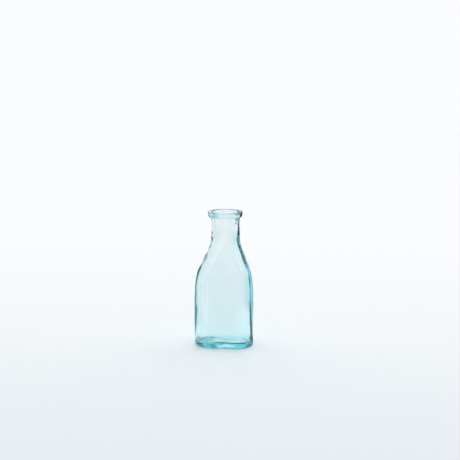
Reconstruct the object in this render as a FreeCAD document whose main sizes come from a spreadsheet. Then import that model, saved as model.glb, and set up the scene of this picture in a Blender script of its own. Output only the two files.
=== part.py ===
import FreeCAD, Part
import Sketcher
import math
import os

# Small mouth-blown aqua glass bottle, in millimetres, +Z up.
# Origin: centre of the resting ring under the base.  The wide faces look
# along -Y (front) and +Y (back).  Two pieces of glass:
#   blown_body   base, body, shoulder and neck, blown from one gather
#   applied_lip  a ring of hot glass laid round the neck's end, with the run
#                of glass where the ring was closed

V = FreeCAD.Vector
C = Sketcher.Constraint
doc = FreeCAD.newDocument("glass_bottle")

# ---------------------------------------------------------------------------
# Driving dimensions
# ---------------------------------------------------------------------------
sheet = doc.addObject("Spreadsheet::Sheet", "Dims")
dims = [
    ("overall_height", 110.0),
    ("neck_low", 90.0),          # foot of the neck, round from here up
    ("neck_low_rad", 11.49),
    ("neck_foot", 96.0),         # the neck is a plain cylinder from here up
    ("neck_rad", 11.5),
    ("bore_low", 87.5),
    ("bore_low_rad", 10.24),
    ("bore_foot", 93.5),         # the bore is a plain cylinder from here up
    ("bore_rad", 10.3),
    ("mouth_round", 0.3),        # inner edge of the rim
    ("heel_round", 1.3),         # outer edge of the base
    ("floor_round", 3.6),        # inner edge of the floor
    ("lip_rad", 13.9),
    ("lip_height", 4.6),
    ("lip_edge", 0.7),           # upper edge of the lip, nearly sharp
    ("lip_round", 1.8),          # lower edge of the lip
    ("run_width", 2.9),          # run of glass on the right of the lip
    ("run_drop", 8.2),
    ("run_proud", 2.3),
    ("run_turn", 50.0),          # degrees from the front towards +X
    ("kick_width", 35.0),        # shallow recess in the underside
    ("kick_depth", 15.6),
    ("kick_rise", 1.6),
]
# outer sections, evenly spaced: height, width, depth, corner radius
outer = [
    ("out0", 0.0, 47.5, 27.80, 11.60),
    ("out1", 6.0, 47.5, 27.86, 11.60),
    ("out2", 12.0, 47.5, 27.94, 11.70),
    ("out3", 18.0, 47.6, 28.04, 11.80),
    ("out4", 24.0, 47.7, 28.10, 11.90),
    ("out5", 30.0, 47.7, 28.16, 12.00),
    ("out6", 36.0, 47.6, 28.16, 12.00),
    ("out7", 42.0, 47.4, 28.12, 12.10),
    ("out8", 48.0, 47.0, 28.08, 12.10),
    ("out9", 54.0, 45.8, 28.00, 12.10),
    ("out10", 60.0, 43.1, 27.70, 12.10),
    ("out11", 66.0, 38.7, 27.00, 12.00),
    ("out12", 72.0, 33.5, 25.84, 11.90),
    ("out13", 78.0, 28.4, 24.54, 11.60),
    ("out14", 84.0, 24.5, 23.50, 11.40),
]
# inner sections, evenly spaced from the floor up
inner = [
    ("ins0", 3.5, 43.3, 22.83, 9.39),
    ("ins1", 9.5, 43.4, 23.05, 9.53),
    ("ins2", 15.5, 43.6, 23.43, 9.74),
    ("ins3", 21.5, 43.7, 23.80, 9.89),
    ("ins4", 27.5, 43.8, 24.09, 10.06),
    ("ins5", 33.5, 43.7, 24.32, 10.13),
    ("ins6", 39.5, 43.6, 24.49, 10.25),
    ("ins7", 45.5, 43.3, 24.57, 10.35),
    ("ins8", 51.5, 42.6, 24.55, 10.38),
    ("ins9", 57.5, 41.0, 24.44, 10.49),
    ("ins10", 63.5, 37.6, 24.10, 10.52),
    ("ins11", 69.5, 32.6, 23.24, 10.46),
    ("ins12", 75.5, 27.1, 22.04, 10.20),
    ("ins13", 81.5, 22.4, 21.04, 9.94),
]
for name, high, wide, deep, corner in outer + inner:
    dims += [(name + "_height", high), (name + "_width", wide),
             (name + "_depth", deep), (name + "_corner", corner)]
for row, (name, value) in enumerate(dims, start=1):
    sheet.set("A%d" % row, name)
    sheet.set("B%d" % row, "%g" % value)
    sheet.setAlias("B%d" % row, name)
doc.recompute()
size = dict(dims)


# ---------------------------------------------------------------------------
# Sketch helpers
# ---------------------------------------------------------------------------
def new_sketch(body, name, role="XY_Plane", height=None):
    sk = body.newObject("Sketcher::SketchObject", name)
    plane = [f for f in body.Origin.OriginFeatures if f.Role == role][0]
    sk.AttachmentSupport = (plane, [""])
    sk.MapMode = "FlatFace"
    if height is not None:
        sk.setExpression("AttachmentOffset.Base.z", height)
    return sk


def bind(sk, constraint, name, expression):
    sk.renameConstraint(constraint, name)
    sk.setExpression("Constraints." + name, expression)


def rounded_section(body, name, start, wide, deep, corner, height=None):
    """Rectangle with round corners, centred on the bottle's axis."""
    sk = new_sketch(body, name, height=height)
    a, b, r = start[0] / 2, start[1] / 2, start[2]
    p, q = a - r, b - r

    def line(x0, y0, x1, y1):
        return sk.addGeometry(Part.LineSegment(V(x0, y0, 0), V(x1, y1, 0)), False)

    def arc(x, y, degrees):
        begin = math.radians(degrees)
        circle = Part.Circle(V(x, y, 0), V(0, 0, 1), r)
        return sk.addGeometry(Part.ArcOfCircle(circle, begin, begin + math.pi / 2), False)

    front = line(-p, -b, p, -b)
    c1 = arc(p, -q, 270)
    right = line(a, -q, a, q)
    c2 = arc(p, q, 0)
    back = line(p, b, -p, b)
    c3 = arc(-p, q, 90)
    left = line(-a, q, -a, -q)
    c4 = arc(-p, -q, 180)
    loop = [front, c1, right, c2, back, c3, left, c4]
    for i, g in enumerate(loop):
        sk.addConstraint(C("Tangent", g, 2, loop[(i + 1) % 8], 1))
    for g in (front, back):
        sk.addConstraint(C("Horizontal", g))
    for g in (right, left):
        sk.addConstraint(C("Vertical", g))
    for g in (c2, c3, c4):
        sk.addConstraint(C("Equal", c1, g))
    sk.addConstraint(C("Symmetric", front, 1, back, 1, -1, 1))
    bind(sk, sk.addConstraint(C("DistanceX", left, 1, right, 1, 2 * a)), "wide", wide)
    bind(sk, sk.addConstraint(C("DistanceY", front, 1, back, 1, 2 * b)), "deep", deep)
    bind(sk, sk.addConstraint(C("Radius", c1, r)), "corner", corner)
    return sk


def round_section(body, name, start, radius, height):
    """Circle in eight arcs, so that it pairs edge by edge with the rounded sections."""
    sk = new_sketch(body, name, height=height)
    r = start
    half = math.radians(7.0)
    marks = []
    for degrees in (-90, 0, 90, 180):
        marks += [math.radians(degrees) - half, math.radians(degrees) + half]
    loop = []
    for i in range(8):
        t0, t1 = marks[i], marks[(i + 1) % 8]
        while t1 < t0:
            t1 += 2 * math.pi
        circle = Part.Circle(V(0, 0, 0), V(0, 0, 1), r)
        loop.append(sk.addGeometry(Part.ArcOfCircle(circle, t0, t1), False))
    for g in loop:
        sk.addConstraint(C("Coincident", g, 3, -1, 1))
    for i in range(7):
        sk.addConstraint(C("Coincident", loop[i], 2, loop[i + 1], 1))
    bind(sk, sk.addConstraint(C("Radius", loop[0], r)), "radius", radius)
    # each meeting point of two arcs lies a fixed part of the radius off an axis
    off = math.sin(half)
    for i in range(9):
        g, end = (loop[i], 1) if i < 8 else (loop[7], 2)
        t = marks[i % 8]
        kind, side = ("DistanceX", math.cos(t)) if i % 4 < 2 else ("DistanceY", math.sin(t))
        pair = (-1, 1, g, end) if side > 0 else (g, end, -1, 1)
        bind(sk, sk.addConstraint(C(kind, *pair, r * off)), "meet%d" % i,
             "%s * %.9f" % (radius, off))
    return sk


def circle_sketch(body, name, start, radius, height):
    sk = new_sketch(body, name, height=height)
    g = sk.addGeometry(Part.Circle(V(0, 0, 0), V(0, 0, 1), start), False)
    sk.addConstraint(C("Coincident", g, 3, -1, 1))
    bind(sk, sk.addConstraint(C("Radius", g, start)), "radius", radius)
    return sk


def sections(body, table):
    return [rounded_section(body, n + "_sketch", (w, d, r), "Dims.%s_width" % n,
                            "Dims.%s_depth" % n, "Dims.%s_corner" % n, "Dims.%s_height" % n)
            for n, _, w, d, r in table]


def loft(body, kind, name, profiles):
    feature = body.newObject("PartDesign::" + kind, name)
    feature.Profile = profiles[0]
    feature.Sections = profiles[1:]
    feature.Ruled = False
    doc.recompute()
    return feature


def round_edges(body, name, base, wanted, radius):
    edges = ["Edge%d" % (i + 1) for i, e in enumerate(base.Shape.Edges) if wanted(e.BoundBox)]
    if not edges:
        raise SystemExit(name + " finds no edge")
    feature = body.newObject("PartDesign::Fillet", name)
    feature.Base = (base, edges)
    feature.setExpression("Radius", radius)
    doc.recompute()
    return feature


# ---------------------------------------------------------------------------
# blown_body
# ---------------------------------------------------------------------------
body = doc.addObject("PartDesign::Body", "blown_body")
body.Label = "blown_body"

outside = sections(body, outer)
outside.append(round_section(body, "neck_low_sketch", size["neck_low_rad"],
                             "Dims.neck_low_rad", "Dims.neck_low"))
outside.append(round_section(body, "neck_foot_sketch", size["neck_rad"], "Dims.neck_rad",
                             "Dims.neck_foot"))
doc.recompute()
shell = loft(body, "AdditiveLoft", "outside", outside)
solid_volume = shell.Shape.Volume

# plain round neck, up to the rim
neck = body.newObject("PartDesign::Pad", "neck")
neck.Profile = circle_sketch(body, "neck_sketch", size["neck_rad"], "Dims.neck_rad",
                             "Dims.neck_foot")
neck.setExpression("Length", "Dims.overall_height - Dims.neck_foot")
doc.recompute()

# rounded heel where the sides meet the base
heel = round_edges(body, "heel", neck, lambda b: b.ZMax < 1e-6, "Dims.heel_round")

# the hollow: thin blown walls, thickest towards the floor
inside = sections(body, inner)
inside.append(round_section(body, "bore_low_sketch", size["bore_low_rad"],
                            "Dims.bore_low_rad", "Dims.bore_low"))
inside.append(round_section(body, "bore_foot_sketch", size["bore_rad"], "Dims.bore_rad",
                            "Dims.bore_foot"))
doc.recompute()
before = body.Shape.Volume
hollow = loft(body, "SubtractiveLoft", "hollow", inside)
hollow_taken = before - body.Shape.Volume

# straight bore of the neck
bore = body.newObject("PartDesign::Pocket", "bore")
bore.Profile = circle_sketch(body, "bore_sketch", size["bore_rad"], "Dims.bore_rad",
                             "Dims.overall_height")
bore.setExpression("Length", "Dims.overall_height - Dims.bore_foot")
doc.recompute()

# the rim's inner edge is rounded
rim_z = size["overall_height"]
rim = round_edges(body, "rim", bore,
                  lambda b: b.ZMin > rim_z - 1e-6
                  and abs(b.XLength - 2 * size["bore_rad"]) < 1e-3, "Dims.mouth_round")

# the floor runs into the walls in a wide curve
floor_z = size["ins0_height"]
floor = round_edges(body, "floor", rim,
                    lambda b: abs(b.ZMin - floor_z) < 1e-4 and abs(b.ZMax - floor_z) < 1e-4,
                    "Dims.floor_round")

# recess in the underside, which leaves a flat ring to stand on
kw, kd = size["kick_width"], size["kick_depth"]
kick_low = rounded_section(body, "kick_low_sketch", (kw, kd, 0.49 * kd), "Dims.kick_width",
                           "Dims.kick_depth", "Dims.kick_depth * 0.49")
kick_high = rounded_section(body, "kick_high_sketch", (0.62 * kw, 0.5 * kd, 0.24 * kd),
                            "Dims.kick_width * 0.62", "Dims.kick_depth * 0.5",
                            "Dims.kick_depth * 0.24", "Dims.kick_rise")
doc.recompute()
before = body.Shape.Volume
kick = loft(body, "SubtractiveLoft", "kick", [kick_low, kick_high])
kick_taken = before - body.Shape.Volume

# ---------------------------------------------------------------------------
# applied_lip: a flat-topped ring on the neck's end, round below
# ---------------------------------------------------------------------------
lip = doc.addObject("PartDesign::Body", "applied_lip")
lip.Label = "applied_lip"
prof = new_sketch(lip, "lip_profile", "XZ_Plane")
ri, ro, rr, re = size["neck_rad"], size["lip_rad"], size["lip_round"], size["lip_edge"]
z1 = size["overall_height"]
z0 = z1 - size["lip_height"]


def lip_line(x0, y0, x1, y1):
    return prof.addGeometry(Part.LineSegment(V(x0, y0, 0), V(x1, y1, 0)), False)


def lip_arc(y, begin, r):
    circle = Part.Circle(V(ro - r, y, 0), V(0, 0, 1), r)
    return prof.addGeometry(Part.ArcOfCircle(circle, begin, begin + math.pi / 2), False)


seam = lip_line(ri, z1, ri, z0)
under = lip_line(ri, z0, ro - rr, z0)
low_arc = lip_arc(z0 + rr, -math.pi / 2, rr)
edge = lip_line(ro, z0 + rr, ro, z1 - re)
high_arc = lip_arc(z1 - re, 0.0, re)
over = lip_line(ro - re, z1, ri, z1)
for c in (C("Coincident", seam, 2, under, 1), C("Tangent", under, 2, low_arc, 1),
          C("Tangent", low_arc, 2, edge, 1), C("Tangent", edge, 2, high_arc, 1),
          C("Tangent", high_arc, 2, over, 1), C("Coincident", over, 2, seam, 1),
          C("Vertical", seam), C("Horizontal", under), C("Vertical", edge),
          C("Horizontal", over)):
    prof.addConstraint(c)
bind(prof, prof.addConstraint(C("DistanceX", -1, 1, seam, 1, ri)), "neck", "Dims.neck_rad")
bind(prof, prof.addConstraint(C("DistanceX", -1, 1, edge, 1, ro)), "reach", "Dims.lip_rad")
bind(prof, prof.addConstraint(C("DistanceY", -1, 1, seam, 1, z1)), "top", "Dims.overall_height")
bind(prof, prof.addConstraint(C("DistanceY", seam, 2, seam, 1, z1 - z0)), "thick",
     "Dims.lip_height")
bind(prof, prof.addConstraint(C("Radius", low_arc, rr)), "rounding", "Dims.lip_round")
bind(prof, prof.addConstraint(C("Radius", high_arc, re)), "edge", "Dims.lip_edge")
doc.recompute()
ring = lip.newObject("PartDesign::Revolution", "lip_ring")
ring.Profile = prof
ring.ReferenceAxis = (prof, ["V_Axis"])
ring.Angle = 360.0
doc.recompute()
ring_volume = ring.Shape.Volume

# the run: a long drop of glass down the neck, half sunk in the ring
run = lip.newObject("PartDesign::AdditiveEllipsoid", "lip_run")
run.setExpression("Radius1", "Dims.run_drop * 0.5")
run.setExpression("Radius2", "Dims.run_proud")
run.setExpression("Radius3", "Dims.run_width * 0.5")
turn = math.radians(size["run_turn"])
stand = size["neck_rad"] + 0.15
run.Placement = FreeCAD.Placement(
    V(stand * math.sin(turn), -stand * math.cos(turn),
      size["overall_height"] - 0.5 * size["run_drop"] - 0.9),
    FreeCAD.Rotation(V(0, 0, 1), size["run_turn"] - 90.0))
doc.recompute()

# nothing of the lip reaches inside the neck's outer wall
seat = lip.newObject("PartDesign::Pocket", "seat")
seat.Profile = circle_sketch(lip, "seat_sketch", size["neck_rad"], "Dims.neck_rad",
                             "Dims.overall_height")
seat.setExpression("Length", "Dims.overall_height * 0.4")
doc.recompute()
run_added = lip.Shape.Volume - ring_volume

# ---------------------------------------------------------------------------
# Checks and output
# ---------------------------------------------------------------------------
for o in doc.Objects:
    if "Invalid" in o.State or "Error" in o.State:
        raise SystemExit("%s failed: %s" % (o.Name, o.State))
for piece in (body, lip):
    shape = piece.Shape
    if shape.isNull() or not shape.isValid() or len(shape.Solids) != 1:
        raise SystemExit("%s has a bad shape" % piece.Label)
    box = shape.optimalBoundingBox(False)
    print("%s volume %.1f mm3, x %.2f..%.2f y %.2f..%.2f z %.2f..%.2f" % (
        piece.Label, shape.Volume, box.XMin, box.XMax, box.YMin, box.YMax, box.ZMin, box.ZMax))
print("solid outside %.0f, hollow took %.0f, kick took %.0f, run added %.1f mm3" % (
    solid_volume, hollow_taken, kick_taken, run_added))
if hollow_taken < 0.4 * solid_volume or kick_taken < 100 or run_added < 3:
    raise SystemExit("a feature changed nothing")
os.makedirs("parts", exist_ok=True)
for piece in (body, lip):
    piece.Shape.exportStep("parts/%s.step" % piece.Label)
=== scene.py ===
import bpy
import math
import numpy as np
from mathutils import Matrix, Vector


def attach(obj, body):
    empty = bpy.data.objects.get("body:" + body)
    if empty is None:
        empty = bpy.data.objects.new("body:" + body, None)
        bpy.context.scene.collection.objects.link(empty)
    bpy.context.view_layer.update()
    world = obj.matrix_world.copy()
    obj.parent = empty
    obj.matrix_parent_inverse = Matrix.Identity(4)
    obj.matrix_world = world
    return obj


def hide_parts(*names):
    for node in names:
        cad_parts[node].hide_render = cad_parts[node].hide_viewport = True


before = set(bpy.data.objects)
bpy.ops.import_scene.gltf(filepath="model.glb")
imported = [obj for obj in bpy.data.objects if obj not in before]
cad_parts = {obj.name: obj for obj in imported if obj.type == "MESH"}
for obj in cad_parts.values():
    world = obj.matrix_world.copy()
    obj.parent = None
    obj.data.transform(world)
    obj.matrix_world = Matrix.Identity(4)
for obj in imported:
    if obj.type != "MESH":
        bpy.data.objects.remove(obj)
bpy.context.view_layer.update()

# ---------------------------------------------------------------------------
# Small mouth-blown aqua bottle.  Lengths in this file are millimetres, turned
# into metres where the meshes are made.  +Z up, wide face towards -Y.
# ---------------------------------------------------------------------------
MM = 0.001
TAU = 2.0 * math.pi
RIM = 110.0
NECK_R = 11.5
BORE_R = 10.3
SEAM_GAP = 0.012

scene = bpy.context.scene


# ---------------------------------------------------------------------------
# Numbers
# ---------------------------------------------------------------------------
def spline(xs, ys):
    """Smooth curve through points: a natural cubic spline."""
    xs, ys = np.asarray(xs, float), np.asarray(ys, float)
    n = len(xs)
    h = np.diff(xs)
    a = np.zeros((n, n))
    b = np.zeros(n)
    a[0, 0] = a[-1, -1] = 1.0
    for i in range(1, n - 1):
        a[i, i - 1], a[i, i], a[i, i + 1] = h[i - 1], 2 * (h[i - 1] + h[i]), h[i]
        b[i] = 6 * ((ys[i + 1] - ys[i]) / h[i] - (ys[i] - ys[i - 1]) / h[i - 1])
    m = np.linalg.solve(a, b)

    def at(x):
        x = np.asarray(x, float)
        i = np.clip(np.searchsorted(xs, x) - 1, 0, n - 2)
        d, e = xs[i + 1] - x, x - xs[i]
        return (m[i] * d ** 3 + m[i + 1] * e ** 3) / (6 * h[i]) + (
            ys[i] / h[i] - m[i] * h[i] / 6) * d + (ys[i + 1] / h[i] - m[i + 1] * h[i] / 6) * e

    return at


def smooth(lo, hi, x):
    t = np.clip((np.asarray(x, float) - lo) / (hi - lo), 0.0, 1.0)
    return t * t * (3 - 2 * t)


def bump(x, centre, width):
    return np.exp(-0.5 * ((np.asarray(x, float) - centre) / width) ** 2)


def turn_gap(theta, centre):
    """Signed angle from centre, in radians, between -pi and pi."""
    return (np.asarray(theta) - centre + math.pi) % TAU - math.pi


class Waves:
    """Soft unevenness of worked glass over (angle, height): seeded waves, rms 1."""

    def __init__(self, seed, count, turns, shortest, longest):
        rng = np.random.default_rng(seed)
        self.k = rng.integers(-turns, turns + 1, count)
        length = shortest * (longest / shortest) ** rng.random(count)
        self.m = TAU / length
        self.p = rng.random(count) * TAU
        self.a = np.sqrt(length)
        self.a = self.a / math.sqrt(0.5 * float((self.a ** 2).sum()))

    def __call__(self, theta, z):
        theta, z = np.asarray(theta, float), np.asarray(z, float)
        total = np.zeros(np.broadcast(theta, z).shape)
        for k, m, p, a in zip(self.k, self.m, self.p, self.a):
            total = total + a * np.cos(k * theta + m * z + p)
        return total


# ---------------------------------------------------------------------------
# Sections: a rectangle with round corners, seen from its centre
# ---------------------------------------------------------------------------
def rounded_radius(theta, a, b, r):
    """Distance from the centre to the outline, along each angle."""
    c, s = np.abs(np.cos(theta)), np.abs(np.sin(theta))
    r = np.minimum(r, np.minimum(a, b))
    p, q = a - r, b - r
    dot = c * p + s * q
    corner = dot + np.sqrt(np.maximum(dot ** 2 - (p * p + q * q) + r * r, 0.0))
    side = a / np.maximum(c, 1e-9)
    face = b / np.maximum(s, 1e-9)
    out = corner
    out = np.where(side * s <= q, side, out)
    out = np.where(face * c <= p, face, out)
    return out


def soften(values, width):
    """Blurs a closed row of values a little along the row."""
    n = values.shape[-1]
    f = np.fft.rfftfreq(n, 1.0 / n)
    return np.fft.irfft(np.fft.rfft(values, axis=-1) * np.exp(-0.5 * (f * width) ** 2), n, axis=-1)


# height, half width, half depth, corner radius of the outside
OUT_Z = np.arange(0.0, 97.0, 6.0)
OUT_A = spline(OUT_Z, [23.75, 23.75, 23.75, 23.8, 23.85, 23.85, 23.8, 23.7, 23.5, 22.9, 21.55,
                       19.35, 16.75, 14.2, 12.25, 11.5, 11.5])
OUT_B = spline(OUT_Z, [13.9, 13.93, 13.97, 14.02, 14.05, 14.08, 14.08, 14.06, 14.04, 14.0, 13.85,
                       13.5, 12.92, 12.27, 11.75, 11.47, 11.5])
OUT_R = spline(OUT_Z, [11.6, 11.6, 11.7, 11.8, 11.9, 12.0, 12.0, 12.1, 12.1, 12.1, 12.1,
                       12.0, 11.9, 11.6, 11.4, 11.47, 11.5])


def lean(z):
    """The neck stands a little off the body's middle."""
    return -0.50 + 1.29 * smooth(50.0, 92.0, z)


out_waves = Waves(11, 14, 3, 26.0, 90.0)
in_waves = Waves(23, 22, 5, 16.0, 70.0)
fine_waves = Waves(37, 26, 9, 5.0, 16.0)


def outer_radius(theta, z, inset=0.0):
    """Outside of the glass; inset moves it in evenly, for the heel."""
    zz = np.clip(z, 0.0, 96.0)
    a, b, r = OUT_A(zz), OUT_B(zz), OUT_R(zz)
    a, b, r = (np.where(z > 96.0, NECK_R, v) for v in (a, b, r))
    rad = rounded_radius(theta, (a - inset)[..., None], (b - inset)[..., None],
                         np.maximum(r - inset, 1.0)[..., None])
    rad = soften(rad, 0.03)
    zc = np.asarray(z)[..., None]
    body = 1.0 - smooth(84.0, 97.0, zc)
    neck = smooth(88.0, 96.0, zc) * (1.0 - smooth(104.6, 105.3, zc))
    rad = rad + 0.06 * body * out_waves(theta, zc) + 0.008 * body * fine_waves(theta, zc)
    # dents and swells of the left shoulder and side
    left = turn_gap(theta, math.pi)
    rad = rad + body * (0.55 * bump(zc, 72.6, 1.9) - 0.5 * bump(zc, 77.5, 2.3)
                        - 0.42 * bump(zc, 67.4, 2.2) + 0.3 * bump(zc, 62.5, 2.4)) * bump(left, 0.0, 0.38)
    rad = rad + body * (0.09 * bump(zc, 37.0, 3.0) - 0.10 * bump(zc, 31.0, 2.6)
                        + 0.06 * bump(zc, 25.0, 2.4)) * bump(left, 0.0, 0.42)
    # soft crease where the flat faces end
    faces = bump(np.abs(np.sin(theta)), 1.0, 0.16)
    rad = rad - 0.16 * body * faces * bump(zc, 63.6, 1.1) + 0.10 * body * faces * bump(zc, 66.4, 1.3)
    # rings left by the finishing tool under the lip
    rad = rad + neck * (0.012 * np.sin(TAU * zc / 2.6 + 0.5 * np.sin(theta)) * bump(zc, 101.0, 4.2)
                        + 0.005 * fine_waves(theta, zc))
    return rad


# inside of the glass: thin blown walls, the right one thicker, and a thick base
IN_Z = np.array([5.0, 11.0, 17.0, 23.0, 29.0, 35.0, 41.0, 47.0, 53.0, 59.0, 65.0, 71.0, 77.0, 83.0,
                 89.0, 95.0])
IN_A = spline(IN_Z, OUT_A(IN_Z) - np.array([2.1, 2.0, 1.97, 1.97, 1.97, 1.97, 1.97, 1.95, 1.9, 1.65, 1.5, 1.55,
                                            1.7, 1.75, 1.45, 1.2]))
IN_B = spline(IN_Z, OUT_B(IN_Z) - np.array([2.5, 2.4, 2.25, 2.1, 2.0, 1.9, 1.8, 1.75, 1.75, 1.7, 1.6, 1.55,
                                            1.5, 1.4, 1.3, 1.2]))
IN_R = spline(IN_Z, OUT_R(IN_Z) - np.array([2.2, 2.1, 2.0, 1.95, 1.9, 1.85, 1.8, 1.75, 1.7, 1.6, 1.5, 1.5,
                                            1.55, 1.5, 1.35, 1.2]))


def inner_radius(theta, z, inset=0.0):
    zz = np.clip(z, 5.0, 95.0)
    a, b, r = IN_A(zz), IN_B(zz), IN_R(zz)
    rad = rounded_radius(theta, (a - inset)[..., None], (b - inset)[..., None],
                         np.maximum(r - inset, 0.8)[..., None])
    rad = soften(rad, 0.05)
    zc = np.asarray(z)[..., None]
    body = 1.0 - smooth(82.0, 94.0, zc)
    neck = smooth(86.0, 94.0, zc) * (1.0 - smooth(103.0, 107.0, zc))
    rad = rad + 0.13 * body * in_waves(theta, zc) + 0.01 * body * fine_waves(theta + 1.0, zc)
    left = turn_gap(theta, math.pi)
    rad = rad + body * (0.2 * bump(zc, 35.0, 3.2) - 0.2 * bump(zc, 29.5, 2.8)) * bump(left, 0.1, 0.5)
    rad = rad + 0.012 * neck * fine_waves(theta + 2.0, zc)
    return rad


SHIFT = spline(IN_Z, [-0.45, -0.52, -0.53, -0.53, -0.53, -0.53, -0.53, -0.53, -0.5, -0.37, -0.27, -0.35,
                      -0.5, -0.55, -0.35, -0.2])


def inner_shift(z):
    """The hollow sits off centre, so the right wall is the thick one."""
    return SHIFT(np.clip(z, 5.0, 95.0))


# ---------------------------------------------------------------------------
# Mesh building
# ---------------------------------------------------------------------------
def columns(n):
    """Angles round the bottle, evenly spaced partly by angle and partly along the body."""
    fine = np.linspace(0.0, TAU, 7201)
    rad = rounded_radius(fine, 24.0, 14.0, 12.0)
    x, y = rad * np.cos(fine), rad * np.sin(fine)
    run = np.concatenate([[0.0], np.cumsum(np.hypot(np.diff(x), np.diff(y)))])
    run = run / run[-1]
    mixed = 0.5 * run + 0.5 * fine / TAU
    return np.interp(np.arange(n) / n, mixed, fine)


def grid_mesh(name, rows, poles):
    """Closed mesh from rows of points round the axis; poles close the first and last row."""
    n = len(rows[0])
    points = [np.asarray(poles[0], float)[None, :]] if poles else []
    base = 1 if poles else 0
    points += [np.asarray(r, float) for r in rows]
    if poles:
        points.append(np.asarray(poles[1], float)[None, :])
    co = np.concatenate(points) * MM
    faces = []
    at = lambda i, j: base + i * n + j % n
    if poles:
        faces += [(0, at(0, j + 1), at(0, j)) for j in range(n)]
    loops = len(rows) if not poles else len(rows) - 1
    for i in range(loops):
        k = (i + 1) % len(rows)
        for j in range(n):
            faces.append((at(i, j), at(i, j + 1), at(k, j + 1), at(k, j)))
    if poles:
        last = len(co) - 1
        faces += [(at(len(rows) - 1, j), at(len(rows) - 1, j + 1), last) for j in range(n)]
    mesh = bpy.data.meshes.new(name)
    mesh.from_pydata([tuple(p) for p in co], [], faces)
    mesh.polygons.foreach_set("use_smooth", [True] * len(faces))
    mesh.validate()
    mesh.update()
    return mesh


def ring_points(theta, rad, z, shift):
    z = np.broadcast_to(np.asarray(z, float), theta.shape)
    return np.stack([rad * np.cos(theta) + shift, rad * np.sin(theta), z], axis=-1)


def seed_shell(centre, size, tilt=0.0):
    """A bubble in the glass: a closed shell whose faces look into the bubble."""
    lat, lon = 10, 16
    pts, faces = [], []
    for i in range(1, lat):
        v = math.pi * i / lat
        for j in range(lon):
            u = TAU * j / lon
            pts.append((math.sin(v) * math.cos(u), math.sin(v) * math.sin(u), math.cos(v)))
    pts += [(0, 0, 1), (0, 0, -1)]
    for i in range(lat - 2):
        for j in range(lon):
            k = (j + 1) % lon
            faces.append((i * lon + j, i * lon + k, (i + 1) * lon + k, (i + 1) * lon + j))
    top, low = len(pts) - 2, len(pts) - 1
    faces += [(top, (j + 1) % lon, j) for j in range(lon)]
    faces += [(low, (lat - 2) * lon + j, (lat - 2) * lon + (j + 1) % lon) for j in range(lon)]
    turn = Matrix.Rotation(tilt, 3, "Y")
    out = [turn @ Vector((p[0] * size[0], p[1] * size[1], p[2] * size[2])) + Vector(centre) for p in pts]
    return out, faces


def add_shells(mesh, shells):
    """Joins bubbles to a mesh, as voids inside the glass."""
    co = [tuple(v.co) for v in mesh.vertices]
    faces = [tuple(p.vertices) for p in mesh.polygons]
    for pts, fs in shells:
        base = len(co)
        co += [tuple(p * MM) for p in pts]
        faces += [tuple(base + i for i in f) for f in fs]
    new = bpy.data.meshes.new(mesh.name)
    new.from_pydata(co, [], faces)
    new.polygons.foreach_set("use_smooth", [True] * len(faces))
    new.update()
    return new


# ---------------------------------------------------------------------------
# blown_body
# ---------------------------------------------------------------------------
N = 224
theta = columns(N)
rows = []


def put(points):
    rows.append(points)


# underside: shallow push-up, then the ring it stands on
under_waves = Waves(51, 10, 3, 20.0, 60.0)
HEEL = 1.3


def push_up(x, y):
    """Underside: arched from side to side, flat where it stands."""
    arch = np.maximum(1.0 - (x / 19.5) ** 2, 0.0)
    return KICK * arch * (1.0 - smooth(3.0, 11.4, np.abs(y)))


KICK = 2.3
for s in np.concatenate([np.linspace(0.05, 0.62, 14), np.linspace(0.65, 0.985, 18)]):
    edge = outer_radius(theta, np.array(0.0), HEEL)
    x, y = edge * s * np.cos(theta), edge * s * np.sin(theta)
    rise = push_up(x, y) * (1.0 + 0.05 * under_waves(theta, np.full(N, 40.0 * s)) * smooth(0.05, 0.3, s))
    put(ring_points(theta, edge * s, rise, lean(0.0)))
# heel
for t in np.linspace(0.0, 1.0, 13):
    ang = t * math.pi / 2
    z = HEEL * (1.0 - math.cos(ang))
    inset = HEEL * (1.0 - math.sin(ang))
    put(ring_points(theta, outer_radius(theta, np.array(z), inset), z, lean(z)))
# sides, shoulder and neck
LIP_FOOT = 105.4
side_z = np.concatenate([np.linspace(HEEL, 58.0, 74)[1:], np.linspace(58.0, 92.0, 62)[1:],
                         np.linspace(92.0, LIP_FOOT, 36)[1:]])
for z in side_z:
    put(ring_points(theta, outer_radius(theta, np.array(z)), z, lean(z)))
# the part of the neck that the lip sits on
SEAM_TOP = 109.85
for z in np.linspace(LIP_FOOT, SEAM_TOP, 7)[1:]:
    put(ring_points(theta, np.full(N, NECK_R), z, lean(z)))
# rim, rounded into the bore
rim_waves = Waves(61, 8, 3, 30.0, 60.0)
rim_rise = 0.06 * rim_waves(theta, np.zeros(N))
for r, z, w in ((11.32, 109.94, 0.5), (11.08, 109.97, 0.8), (10.8, 109.97, 1.0), (10.62, 109.93, 1.0), (10.49, 109.82, 1.0),
                (10.39, 109.62, 0.9), (10.34, 109.3, 0.8), (10.32, 108.8, 0.6), (10.31, 108.0, 0.3), (10.3, 107.0, 0.1)):
    put(ring_points(theta, np.full(N, r), z + rim_rise * w, lean(z) - 0.2 * smooth(109.7, 106.0, z)))
# bore, shoulder, sides
FLOOR_R = 3.6
FLOOR = 2.4
FLOOR_ARCH = 2.0
in_z = np.concatenate([np.linspace(106.0, 92.0, 24), np.linspace(92.0, 58.0, 58)[1:],
                       np.linspace(58.0, FLOOR + FLOOR_R, 60)[1:]])
for z in in_z:
    put(ring_points(theta, inner_radius(theta, np.array(z)), z, lean(z) + inner_shift(z)))
# inside edge of the floor
floor_waves = Waves(71, 12, 4, 14.0, 50.0)


def floor_height(t, rad, s):
    """Inside floor: higher along the middle, uneven."""
    arch = np.maximum(1.0 - (rad * np.cos(t) / 20.0) ** 2, 0.0)
    return FLOOR_ARCH * arch + 0.12 * floor_waves(t, 30.0 * s) * smooth(0.02, 0.2, s)


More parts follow.
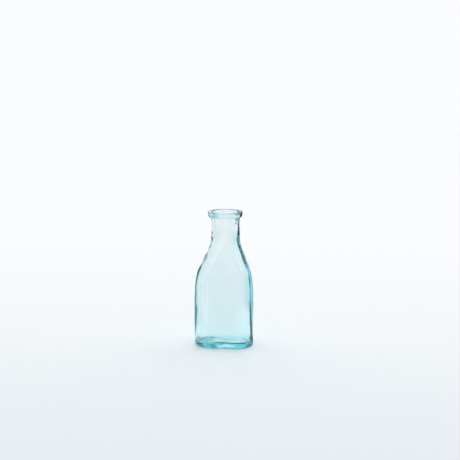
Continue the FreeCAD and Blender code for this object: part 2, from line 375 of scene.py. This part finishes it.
for t in np.linspace(0.0, 1.0, 16)[1:]:
    ang = t * math.pi / 2
    inset = FLOOR_R * (1.0 - math.cos(ang))
    z = FLOOR + FLOOR_R * (1.0 - math.sin(ang))
    rad = inner_radius(theta, np.array(z), inset)
    zz = z + floor_height(theta, rad, 0.72) * t * t
    put(ring_points(theta, rad, zz, lean(z) + inner_shift(z)))
edge = inner_radius(theta, np.array(FLOOR), FLOOR_R)
for s in np.linspace(1.0, 0.05, 22)[1:]:
    zz = FLOOR + floor_height(theta, edge * s, 0.72 * s)
    put(ring_points(theta, edge * s, zz, lean(0.0) + inner_shift(0.0)))
poles = ((lean(0.0), 0.0, KICK), (lean(0.0) + inner_shift(0.0), 0.0, FLOOR + FLOOR_ARCH))
body_mesh = grid_mesh("blown_body_glass", rows, poles)

# seeds: small drawn-out bubbles inside the walls and the base
def wall_seed(turn, z, size, share=0.5, tilt=0.0):
    """Bubble at an angle (degrees from +X) and height, part of the way through the wall."""
    t = np.array([math.radians(turn)])
    k = int(np.argmin(np.abs(turn_gap(theta, t[0]))))
    o = outer_radius(theta, np.array(z))[k]
    i = inner_radius(theta, np.array(z))[k]
    c, sn = math.cos(theta[k]), math.sin(theta[k])
    far = (lean(z) + o * c, o * sn)
    near = (lean(z) + inner_shift(z) + i * c, i * sn)
    return ((near[0] + (far[0] - near[0]) * share, near[1] + (far[1] - near[1]) * share, z), size, tilt)


seeds = [
    wall_seed(270.0, 97.4, (0.36, 0.20, 0.24)),
    wall_seed(209.0, 81.0, (0.22, 0.20, 0.42), 0.5, 0.3),
    wall_seed(338.0, 31.5, (0.34, 0.34, 0.60), 0.45, 0.1),
    wall_seed(66.0, 46.0, (0.15, 0.14, 0.34)),
    wall_seed(238.0, 40.5, (0.14, 0.13, 0.30)),
    wall_seed(290.0, 70.0, (0.13, 0.12, 0.26)),
    wall_seed(71.0, 91.5, (0.14, 0.13, 0.30)),
    wall_seed(120.0, 58.0, (0.16, 0.15, 0.36)),
    wall_seed(15.0, 20.0, (0.20, 0.20, 0.44)),
    ((-19.2, -6.6, 1.2), (0.42, 0.42, 0.34), 0.0),
    ((12.3, 3.5, 2.5), (0.3, 0.3, 0.22), 0.0),
    ((-4.0, 2.0, 3.25), (0.24, 0.22, 0.2), 0.0),
]
body_mesh = add_shells(body_mesh, [seed_shell(c, s, t) for c, s, t in seeds])
body_mesh.name = "blown_body_glass"

# ---------------------------------------------------------------------------
# applied_lip: the ring, and the run of glass down its right
# ---------------------------------------------------------------------------
RUN = math.radians(-40.0)          # direction of the run, seen from above
even = np.linspace(0.0, TAU, 221)[:-1]
near = RUN + np.linspace(-0.30, 0.30, 92)
lip_theta = np.unique(np.round(np.concatenate([even % TAU, near % TAU]), 6))
keep = [0]
for i in range(1, len(lip_theta)):
    if lip_theta[i] - lip_theta[keep[-1]] > 0.004:
        keep.append(i)
lip_theta = lip_theta[keep]
M = len(lip_theta)
LIP_X = float(lean(RIM))
lip_waves = Waves(81, 9, 4, 20.0, 60.0)
gap = np.abs(turn_gap(lip_theta, RUN))
run_on = np.maximum(1.0 - (gap / 0.118) ** 2.6, 0.0) ** 0.5
# outlines from the seam's top over the edge to the seam's foot: the ring's, and the run's
RING = [(11.512, 109.85), (12.0, 109.96), (12.7, 110.0), (13.25, 110.0), (13.58, 109.97),
        (13.74, 109.87), (13.83, 109.66), (13.87, 109.25), (13.88, 108.5), (13.86, 107.7),
        (13.77, 107.05), (13.57, 106.45), (13.22, 105.95), (12.75, 105.64), (12.3, 105.51),
        (11.9, 105.46), (11.65, 105.43), (11.512, 105.40)]
HANG = [(11.512, 109.85), (12.0, 109.95), (12.6, 110.02), (13.15, 109.97), (13.6, 109.7),
        (13.9, 109.1), (14.04, 108.5), (14.06, 107.7), (13.98, 106.8), (13.8, 105.8),
        (13.6, 104.9), (13.48, 104.1), (13.46, 103.3), (13.4, 102.5), (13.12, 101.75),
        (12.55, 101.25), (11.9, 101.05), (11.512, 101.0)]


def traced(points):
    points = np.array(points)
    run = np.concatenate([[0.0], np.cumsum(np.hypot(*np.diff(points, axis=0).T))])
    run = run / run[-1]
    return spline(run, points[:, 0]), spline(run, points[:, 1])


ring_r, ring_z = traced(RING)
hang_r, hang_z = traced(HANG)
rows = []
K = 56
for i in range(K + 1):
    t = i / K
    ends = math.sin(math.pi * t) ** 0.5 if 0 < i < K else 0.0
    r = float(ring_r(t)) + (float(hang_r(t)) - float(ring_r(t))) * run_on
    z = float(ring_z(t)) + (float(hang_z(t)) - float(ring_z(t))) * run_on
    r = r + ends * (0.10 * lip_waves(lip_theta, np.full(M, 10.0 * t)) - 0.3 * np.cos(lip_theta))
    z = z + ends * 0.07 * lip_waves(lip_theta + 0.7, np.full(M, 25.0 * t))
    r = np.maximum(r, NECK_R + SEAM_GAP)
    rows.append(ring_points(lip_theta, r, z, LIP_X))
foot = rows[-1][:, 2]
for t in np.linspace(0.0, 1.0, 8)[1:-1]:
    rows.append(ring_points(lip_theta, np.full(M, NECK_R + SEAM_GAP), foot + (109.85 - foot) * t, LIP_X))
rows[0][:, 2] = 109.85
# rows run from the top down outside, so turn them to keep the faces outward
rows = rows[::-1]
lip_mesh = grid_mesh("applied_lip_glass", rows, None)


# ---------------------------------------------------------------------------
# Glass
# ---------------------------------------------------------------------------
def glass(name, depth, wear=True):
    mat = bpy.data.materials.new(name)
    mat.use_nodes = True
    nt = mat.node_tree
    nt.nodes.clear()
    out = nt.nodes.new("ShaderNodeOutputMaterial")
    vol = nt.nodes.new("ShaderNodeVolumeAbsorption")
    vol.inputs["Color"].default_value = (0.02, 0.872, 0.945, 1.0)
    vol.inputs["Density"].default_value = depth
    nt.links.new(vol.outputs["Volume"], out.inputs["Volume"])
    p = nt.nodes.new("ShaderNodeBsdfPrincipled")
    p.inputs["Base Color"].default_value = (1, 1, 1, 1)
    p.inputs["Transmission Weight"].default_value = 1.0
    p.inputs["IOR"].default_value = 1.52
    p.inputs["Roughness"].default_value = 0.0
    nt.links.new(p.outputs["BSDF"], out.inputs["Surface"])
    co = nt.nodes.new("ShaderNodeTexCoord")
    # handling haze: faint, patchy
    haze = nt.nodes.new("ShaderNodeTexNoise")
    haze.inputs["Scale"].default_value = 90.0
    haze.inputs["Detail"].default_value = 5.0
    haze.inputs["Roughness"].default_value = 0.6
    nt.links.new(co.outputs["Object"], haze.inputs["Vector"])
    hmap = nt.nodes.new("ShaderNodeMapRange")
    hmap.inputs["From Min"].default_value = 0.45
    hmap.inputs["From Max"].default_value = 0.85
    hmap.inputs["To Min"].default_value = 0.0
    hmap.inputs["To Max"].default_value = 0.05
    nt.links.new(haze.outputs["Fac"], hmap.inputs["Value"])
    rough = hmap.outputs["Result"]
    if wear:
        # scuffs on the resting ring
        sep = nt.nodes.new("ShaderNodeSeparateXYZ")
        nt.links.new(co.outputs["Object"], sep.inputs["Vector"])
        low = nt.nodes.new("ShaderNodeMapRange")
        low.inputs["From Min"].default_value = 0.0004
        low.inputs["From Max"].default_value = 0.0
        low.inputs["To Min"].default_value = 0.0
        low.inputs["To Max"].default_value = 0.22
        nt.links.new(sep.outputs["Z"], low.inputs["Value"])
        add = nt.nodes.new("ShaderNodeMath")
        add.operation = "ADD"
        nt.links.new(rough, add.inputs[0])
        nt.links.new(low.outputs["Result"], add.inputs[1])
        rough = add.outputs["Value"]
    nt.links.new(rough, p.inputs["Roughness"])
    # fine drag lines of the drawn glass
    stretch = nt.nodes.new("ShaderNodeMapping")
    stretch.inputs["Scale"].default_value = (1.0, 1.0, 0.35)
    nt.links.new(co.outputs["Object"], stretch.inputs["Vector"])
    ripple = nt.nodes.new("ShaderNodeTexNoise")
    ripple.inputs["Scale"].default_value = 140.0
    ripple.inputs["Detail"].default_value = 2.0
    nt.links.new(stretch.outputs["Vector"], ripple.inputs["Vector"])
    b = nt.nodes.new("ShaderNodeBump")
    b.inputs["Strength"].default_value = 0.05
    b.inputs["Distance"].default_value = 0.0004
    nt.links.new(ripple.outputs["Fac"], b.inputs["Height"])
    nt.links.new(b.outputs["Normal"], p.inputs["Normal"])
    return mat


body_glass = glass("aqua_body_glass", 60.0)
lip_glass = glass("aqua_lip_glass", 40.0, wear=False)


def piece(name, mesh, node, glass_mat):
    mesh.materials.append(glass_mat)
    obj = bpy.data.objects.new(name, mesh)
    scene.collection.objects.link(obj)
    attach(obj, "root")
    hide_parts(node)
    return obj


body_obj = piece("blown_body_glass", body_mesh, "blown_body", body_glass)
lip_obj = piece("applied_lip_glass", lip_mesh, "applied_lip", lip_glass)


# ---------------------------------------------------------------------------
# Stage: pale floor with painted shading, even soft light, and glowing cards seen only in the glass that paint its dark
# edges and reflections
# ---------------------------------------------------------------------------
def stage_mesh(name, points, faces, mat):
    mesh = bpy.data.meshes.new(name)
    mesh.from_pydata([tuple(p) for p in points], [], faces)
    mesh.materials.append(mat)
    obj = bpy.data.objects.new(name, mesh)
    scene.collection.objects.link(obj)
    return obj


def floor_paper():
    """Pale paper with painted shading: a little darker in front, lighter towards the back and far off."""
    mat = bpy.data.materials.new("pale_floor")
    mat.use_nodes = True
    nt = mat.node_tree
    nt.nodes.clear()
    out = nt.nodes.new("ShaderNodeOutputMaterial")
    d = nt.nodes.new("ShaderNodeBsdfDiffuse")
    co = nt.nodes.new("ShaderNodeTexCoord")
    sep = nt.nodes.new("ShaderNodeSeparateXYZ")
    along = nt.nodes.new("ShaderNodeMapRange")
    along.inputs["From Min"].default_value = -0.25
    along.inputs["From Max"].default_value = 0.50
    ramp = nt.nodes.new("ShaderNodeValToRGB")
    ramp.color_ramp.interpolation = "CARDINAL"
    stops = [(0.04, FLOOR_FRONT), (0.35, FLOOR_MID), (0.90, FLOOR_BACK)]
    el = ramp.color_ramp.elements
    while len(el) < len(stops):
        el.new(0.5)
    for e, (at, c) in zip(el, stops):
        e.position = at
        e.color = (*c, 1.0)
    size = nt.nodes.new("ShaderNodeVectorMath")
    size.operation = "LENGTH"
    far = nt.nodes.new("ShaderNodeMapRange")
    far.interpolation_type = "SMOOTHSTEP"
    far.inputs["From Min"].default_value = 0.3
    far.inputs["From Max"].default_value = 1.2
    mix = nt.nodes.new("ShaderNodeMix")
    mix.data_type = "RGBA"
    mix.inputs["B"].default_value = (*FLOOR_FAR, 1.0)
    nt.links.new(co.outputs["Object"], sep.inputs["Vector"])
    nt.links.new(sep.outputs["Y"], along.inputs["Value"])
    nt.links.new(along.outputs["Result"], ramp.inputs["Fac"])
    nt.links.new(co.outputs["Object"], size.inputs[0])
    nt.links.new(size.outputs["Value"], far.inputs["Value"])
    nt.links.new(far.outputs["Result"], mix.inputs["Factor"])
    nt.links.new(ramp.outputs["Color"], mix.inputs[6])
    # painted pool of light round the base; with FLOOR_POOL at 1.0 it leaves the colour unchanged
    pool = nt.nodes.new("ShaderNodeMapRange")
    pool.interpolation_type = "SMOOTHSTEP"
    pool.inputs["From Min"].default_value = 0.015
    pool.inputs["From Max"].default_value = 0.12
    pool.inputs["To Min"].default_value = FLOOR_POOL
    pool.inputs["To Max"].default_value = 1.0
    lift = nt.nodes.new("ShaderNodeVectorMath")
    lift.operation = "SCALE"
    nt.links.new(size.outputs["Value"], pool.inputs["Value"])
    nt.links.new(mix.outputs[2], lift.inputs[0])
    nt.links.new(pool.outputs["Result"], lift.inputs["Scale"])
    nt.links.new(lift.outputs["Vector"], d.inputs["Color"])
    # far off, the paper turns into a painted glow of the sky's colour, then fades into the sky
    glow = nt.nodes.new("ShaderNodeEmission")
    glow.inputs["Color"].default_value = (*SKY, 1.0)
    clear = nt.nodes.new("ShaderNodeBsdfTransparent")
    shader = d.outputs["BSDF"]
    for start, end, other in ((0.8, 2.0, glow.outputs["Emission"]), (2.2, 5.0, clear.outputs["BSDF"])):
        fade = nt.nodes.new("ShaderNodeMapRange")
        fade.interpolation_type = "SMOOTHSTEP"
        fade.inputs["From Min"].default_value = start
        fade.inputs["From Max"].default_value = end
        blend = nt.nodes.new("ShaderNodeMixShader")
        nt.links.new(size.outputs["Value"], fade.inputs["Value"])
        nt.links.new(fade.outputs["Result"], blend.inputs["Fac"])
        nt.links.new(shader, blend.inputs[1])
        nt.links.new(other, blend.inputs[2])
        shader = blend.outputs["Shader"]
    nt.links.new(shader, out.inputs["Surface"])
    return mat


# painted shading of the paper: its colour darker in front and lighter towards the back and far off
FLOOR_FRONT = (0.2755, 0.2863, 0.2936)
FLOOR_MID = (0.3022, 0.3105, 0.3147)
FLOOR_BACK = (0.3259, 0.3252, 0.3266)
FLOOR_FAR = (0.3269, 0.3269, 0.3269)
FLOOR_POOL = 1.0
SKY = (0.965, 0.975, 0.99)
S, LOW = 6.0, -0.00005
stage_mesh("floor", [(-S, -S, LOW), (S, -S, LOW), (S, S, LOW), (-S, S, LOW)], [(0, 1, 2, 3)], floor_paper())


def flag(name, foot, stops, inner=False, ends=0.0):
    """Upright glowing card over a line on the floor, in painted shades that change with height; it shows only in the
    glass, as painted dark edges and reflections.

    An inner card shows only in light that the glass has thrown back at least once.
    Shades may carry an opacity; ends is the share of the length that fades out at each end.
    """
    low, high = stops[0][0], stops[-1][0]
    mat = bpy.data.materials.new(name)
    mat.use_nodes = True
    nt = mat.node_tree
    nt.nodes.clear()
    out = nt.nodes.new("ShaderNodeOutputMaterial")
    e = nt.nodes.new("ShaderNodeEmission")
    co = nt.nodes.new("ShaderNodeTexCoord")
    sep = nt.nodes.new("ShaderNodeSeparateXYZ")
    span = nt.nodes.new("ShaderNodeMapRange")
    span.inputs["From Min"].default_value = low
    span.inputs["From Max"].default_value = high
    ramp = nt.nodes.new("ShaderNodeValToRGB")
    el = ramp.color_ramp.elements
    while len(el) < len(stops):
        el.new(0.5)
    for spot, (z, shade) in zip(el, stops):
        spot.position = (z - low) / (high - low)
        spot.color = shade if len(shade) == 4 else (*shade, 1.0)
    nt.links.new(co.outputs["Object"], sep.inputs["Vector"])
    nt.links.new(sep.outputs["Z"], span.inputs["Value"])
    nt.links.new(span.outputs["Result"], ramp.inputs["Fac"])
    nt.links.new(ramp.outputs["Color"], e.inputs["Color"])
    clear = nt.nodes.new("ShaderNodeBsdfTransparent")
    path = nt.nodes.new("ShaderNodeLightPath")
    cover = nt.nodes.new("ShaderNodeAttribute")
    cover.attribute_name = "cover"

    def times(one, two):
        node = nt.nodes.new("ShaderNodeMath")
        node.operation = "MULTIPLY"
        nt.links.new(one, node.inputs[0])
        nt.links.new(two, node.inputs[1])
        return node.outputs["Value"]

    def depth_test(kind, operation):
        node = nt.nodes.new("ShaderNodeMath")
        node.operation = operation
        node.inputs[1].default_value = 0.5
        nt.links.new(path.outputs[kind], node.inputs[0])
        return node.outputs["Value"]

    shown = times(times(ramp.outputs["Alpha"], cover.outputs["Fac"]), depth_test("Diffuse Depth", "LESS_THAN"))
    if inner:
        shown = times(shown, depth_test("Glossy Depth", "GREATER_THAN"))
    pick = nt.nodes.new("ShaderNodeMixShader")
    nt.links.new(shown, pick.inputs["Fac"])
    nt.links.new(clear.outputs["BSDF"], pick.inputs[1])
    nt.links.new(e.outputs["Emission"], pick.inputs[2])
    nt.links.new(pick.outputs["Shader"], out.inputs["Surface"])
    points = [(x, y, z) for x, y in foot for z in (low, high)]
    faces = [(2 * i, 2 * i + 2, 2 * i + 3, 2 * i + 1) for i in range(len(foot) - 1)]
    obj = stage_mesh(name, points, faces, mat)
    at = np.linspace(0.0, 1.0, len(foot))
    full = smooth(0.0, ends, at) * smooth(0.0, ends, 1.0 - at) if ends else np.ones(len(foot))
    layer = obj.data.attributes.new("cover", "FLOAT", "POINT")
    layer.data.foreach_set("value", np.repeat(full, 2).astype(np.float32))
    obj.visible_camera = False
    obj.visible_diffuse = False
    obj.visible_shadow = False
    obj.visible_volume_scatter = False
    return obj


def arc(az0, az1, r, x=0.0):
    """Line on the floor round part of a circle; angles from the front towards the right."""
    n = max(6, round(abs(az1 - az0) / 2.0))
    turns = [math.radians(az0 + (az1 - az0) * i / n) for i in range(n + 1)]
    return [(x + r * math.sin(t), -r * math.cos(t)) for t in turns]


# painted shades for the cards: the dark and teal edges and bands that the glass shows as reflections
DEEP = (0.005, 0.045, 0.065)
TEAL = (0.18, 0.56, 0.62)
GREY = (0.36, 0.37, 0.38)
PALE = (0.50, 0.53, 0.55)
WALL = (0.15, 0.39, 0.43)
flag("flag_right_edge", [(0.0252, 0.0035), (0.0300, 0.0058), (0.0360, 0.0082), (0.0480, 0.0125)],
     [(0.0002, DEEP), (0.006, (0.006, 0.08, 0.105)), (0.028, (0.012, 0.15, 0.19)), (0.036, TEAL), (0.046, TEAL),
      (0.051, (0.03, 0.20, 0.23)), (0.055, (0.03, 0.20, 0.23)), (0.060, TEAL), (0.066, (*TEAL, 0.0))])
flag("flag_right_top", arc(116.0, 150.0, 0.06), [(0.046, (*TEAL, 0.0)), (0.054, TEAL), (0.063, TEAL), (0.067, DEEP), (0.0885, DEEP),
                                                 (0.0905, (0.11, 0.27, 0.31)), (0.093, (0.11, 0.27, 0.31)), (0.097, DEEP), (0.135, DEEP),
                                                 (0.145, (*DEEP, 0.0))])
flag("flag_right_top_in", arc(150.0, 160.0, 0.06), [(0.064, (*DEEP, 0.0)), (0.070, DEEP), (0.082, DEEP), (0.088, (*DEEP, 0.0))], inner=True)
flag("flag_right_far", arc(62.0, 112.0, 0.14), [(0.0, DEEP), (0.062, DEEP), (0.074, (*TEAL, 0.25)), (0.30, (*TEAL, 0.25))])
flag("flag_left_near", arc(246.0, 256.0, 0.06), [(0.0, DEEP), (0.036, DEEP)], inner=True)
flag("flag_left_wall", arc(200.0, 256.0, 0.045), [(0.0002, WALL), (0.047, WALL), (0.053, (0.05, 0.19, 0.22)), (0.061, (0.05, 0.19, 0.22)),
                                                  (0.066, (0.05, 0.19, 0.22, 0.0))], inner=True)
flag("flag_left_top", arc(205.0, 252.0, 0.06), [(0.066, (*DEEP, 0.0)), (0.069, (*DEEP, 0.55)), (0.074, (*DEEP, 0.55)), (0.080, (*DEEP, 0.0))], inner=True)
flag("flag_left", arc(199.0, 211.0, 0.10, -0.0225), [(0.0, DEEP), (0.043, DEEP)], inner=True)
flag("flag_left_far", arc(197.0, 235.0, 0.20, -0.0225),
     [(0.014, (0.05, 0.17, 0.20)), (0.020, (0.05, 0.17, 0.20)), (0.024, (0.4, 0.66, 0.7)), (0.033, (0.4, 0.66, 0.7)),
      (0.036, (0.03, 0.09, 0.11)), (0.044, (0.03, 0.09, 0.11)), (0.047, (0.6, 0.8, 0.83, 0.0)),
      (0.050, (0.6, 0.8, 0.83, 0.0))], inner=True)
# painted dark and bright reflections on the lip's sides
LIP_DARK = (0.012, 0.07, 0.09)
flag("flag_lip_left", arc(206.0, 226.0, 0.20), [(0.062, (*LIP_DARK, 0.0)), (0.072, LIP_DARK), (0.116, LIP_DARK), (0.123, (*LIP_DARK, 0.0))], ends=0.15)
flag("flag_lip_left_glow", arc(234.0, 252.0, 0.20), [(0.076, (0.40, 0.83, 0.90, 0.0)), (0.084, (0.40, 0.83, 0.90)), (0.190, (0.40, 0.83, 0.90))])
flag("flag_lip_right", arc(114.0, 143.0, 0.019), [(0.1000, (*LIP_DARK, 0.0)), (0.1016, LIP_DARK), (0.1110, LIP_DARK)], ends=0.15)
flag("flag_left_back", arc(236.0, 256.0, 0.14), [(0.0, DEEP), (0.040, DEEP), (0.046, (0.4, 0.66, 0.7, 0.3)),
                                                 (0.30, (0.4, 0.66, 0.7, 0.3))], inner=True)
flag("flag_left_low", arc(258.0, 318.0, 0.055), [(0.004, (*WALL, 0.0)), (0.010, WALL), (0.060, WALL), (0.10, (*WALL, 0.0))], inner=True)
flag("flag_left_front", arc(298.0, 332.0, 0.14), [(0.0, DEEP), (0.062, DEEP), (0.074, PALE), (0.30, PALE)], inner=True)
flag("flag_front", arc(334.0, 386.0, 0.14), [(0.0, GREY), (0.045, GREY), (0.060, PALE), (0.30, PALE)], inner=True)
for name, az0, az1 in (("flag_front_right", 386.0, 422.0), ("flag_left_side", 256.0, 298.0)):
    flag(name, arc(az0, az1, 0.14), [(0.0, GREY), (0.30, GREY)], inner=True)
# two high dark cards far behind: they paint the dark ends of the base, as reflections in the glass
BASE_DARK = (0.015, 0.08, 0.10)
flag("flag_base_right", arc(143.0, 174.0, 1.0), [(0.27, BASE_DARK), (0.65, BASE_DARK)])
flag("flag_base_left", arc(204.0, 222.0, 1.0), [(0.33, BASE_DARK), (0.70, BASE_DARK)])
# grey card on the floor in front, seen only in light the glass throws back: a painted reflection
near, far = arc(-26.0, 16.0, 0.0165), arc(-26.0, 16.0, 0.1395)
apron = stage_mesh("flag_apron", [(x, y, 0.0001) for x, y in near + far],
                   [(i, i + len(near), i + 1 + len(near), i + 1) for i in range(len(near) - 1)],
                   bpy.data.materials["flag_front"])
at = np.linspace(0.0, 1.0, len(near))
apron.data.attributes.new("cover", "FLOAT", "POINT").data.foreach_set(
    "value", np.tile(smooth(0.0, 0.3, at) * smooth(0.0, 0.3, 1.0 - at), 2).astype(np.float32))
apron.visible_camera = apron.visible_diffuse = apron.visible_shadow = apron.visible_volume_scatter = False


def floor_card(name, x, y, z, cover):
    """Dark card lying flat, as dark as cover says at each point; it shows only in the glass, as painted shade."""
    points = [(a, b, z) for b in y for a in x]
    nx = len(x)
    faces = [(j * nx + i, j * nx + i + 1, (j + 1) * nx + i + 1, (j + 1) * nx + i) for j in range(len(y) - 1) for i in range(nx - 1)]
    obj = stage_mesh(name, points, faces, bpy.data.materials["flag_right_far"])
    obj.data.attributes.new("cover", "FLOAT", "POINT").data.foreach_set("value", cover.ravel().astype(np.float32))
    obj.visible_camera = obj.visible_diffuse = obj.visible_shadow = obj.visible_volume_scatter = False


# painted shade in the hollow under the base, and a dark card beside the right-hand corner that paints its dark corner
x, y = np.linspace(-0.016, 0.022, 77), np.linspace(-0.0138, 0.004, 37)
gx, gy = np.meshgrid(x, y)
floor_card("flag_under", x, y, -0.00002, 0.95 * (1.0 - smooth(-0.0092, -0.0040, gy)) * smooth(-0.013, -0.002, gx) * (1.0 - smooth(0.018, 0.022, gx)))
x, y = np.linspace(0.026, 0.054, 29), np.linspace(0.0, 0.022, 23)
gx, gy = np.meshgrid(x, y)
floor_card("flag_right_foot", x, y, 0.0001, 0.8 * smooth(0.0, 0.004, gy) * (1.0 - smooth(0.017, 0.022, gy)) * (1.0 - smooth(0.046, 0.054, gx)))
# pale grey card overhead, seen only in reflections in the glass: a painted pale reflection in place of the bright sky
# above
roof = stage_mesh("flag_roof", [(-0.6, -0.6, 0.5), (0.6, -0.6, 0.5), (0.6, 0.6, 0.5), (-0.6, 0.6, 0.5)], [(0, 1, 2, 3)],
                  bpy.data.materials["flag_front"])
roof.data.attributes.new("cover", "FLOAT", "POINT").data.foreach_set("value", np.ones(4, np.float32))
roof.visible_camera = roof.visible_diffuse = roof.visible_shadow = False
roof.visible_transmission = roof.visible_volume_scatter = False

# sky: even where the glass shows it; the floor gets most of its light from above and behind
OVERHEAD = 5.0
world = bpy.data.worlds.new("studio")
scene.world = world
world.use_nodes = True
wn = world.node_tree
wn.nodes.clear()
wout = wn.nodes.new("ShaderNodeOutputWorld")
wbg = wn.nodes.new("ShaderNodeBackground")
wco = wn.nodes.new("ShaderNodeTexCoord")
wdot = wn.nodes.new("ShaderNodeVectorMath")
wdot.operation = "DOT_PRODUCT"
wdot.inputs[1].default_value = (0.0, math.sin(math.radians(35.0)), math.cos(math.radians(35.0)))
wup = wn.nodes.new("ShaderNodeMapRange")
wup.interpolation_type = "SMOOTHSTEP"
wup.inputs["From Min"].default_value = 0.35
wup.inputs["From Max"].default_value = 0.85
wup.inputs["To Min"].default_value = 0.0
wup.inputs["To Max"].default_value = OVERHEAD - 1.0
wpath = wn.nodes.new("ShaderNodeLightPath")
wis = wn.nodes.new("ShaderNodeMath")
wis.operation = "GREATER_THAN"
wis.inputs[1].default_value = 0.5
wsum = wn.nodes.new("ShaderNodeMath")
wsum.operation = "MULTIPLY_ADD"
wsum.inputs[2].default_value = 1.0
wn.links.new(wpath.outputs["Diffuse Depth"], wis.inputs[0])
wn.links.new(wco.outputs["Generated"], wdot.inputs[0])
wn.links.new(wdot.outputs["Value"], wup.inputs["Value"])
wn.links.new(wup.outputs["Result"], wsum.inputs[0])
wn.links.new(wis.outputs["Value"], wsum.inputs[1])
wn.links.new(wsum.outputs["Value"], wbg.inputs["Strength"])
wbg.inputs["Color"].default_value = (*SKY, 1.0)
wn.links.new(wbg.outputs["Background"], wout.inputs["Surface"])
world.cycles.sampling_method = "NONE"

scene.view_settings.view_transform = "Standard"
scene.view_settings.look = "None"
scene.cycles.max_bounces = 40
scene.cycles.transmission_bounces = 40
scene.cycles.glossy_bounces = 20
scene.cycles.transparent_max_bounces = 40
scene.cycles.blur_glossy = 0.0

# ---------------------------------------------------------------------------
# Camera at the photograph's angle
# ---------------------------------------------------------------------------
AZ = math.radians(5.0)
CAM_D, CAM_H = 0.7781, 0.24718
YAW, PITCH, FOV = math.radians(-0.317), math.radians(11.071), math.radians(26.154)
cam_data = bpy.data.cameras.new("camera")
cam = bpy.data.objects.new("camera", cam_data)
scene.collection.objects.link(cam)
cam_data.sensor_fit = "HORIZONTAL"
cam_data.angle = FOV
cam_data.clip_start = 0.01
cam_data.clip_end = 100.0
ang = math.atan2(math.cos(AZ), -math.sin(AZ)) + YAW
fw = Vector((math.cos(ang) * math.cos(PITCH), math.sin(ang) * math.cos(PITCH), -math.sin(PITCH)))
cam.location = (CAM_D * math.sin(AZ), -CAM_D * math.cos(AZ), CAM_H)
cam.rotation_euler = fw.to_track_quat("-Z", "Y").to_euler()
scene.camera = cam
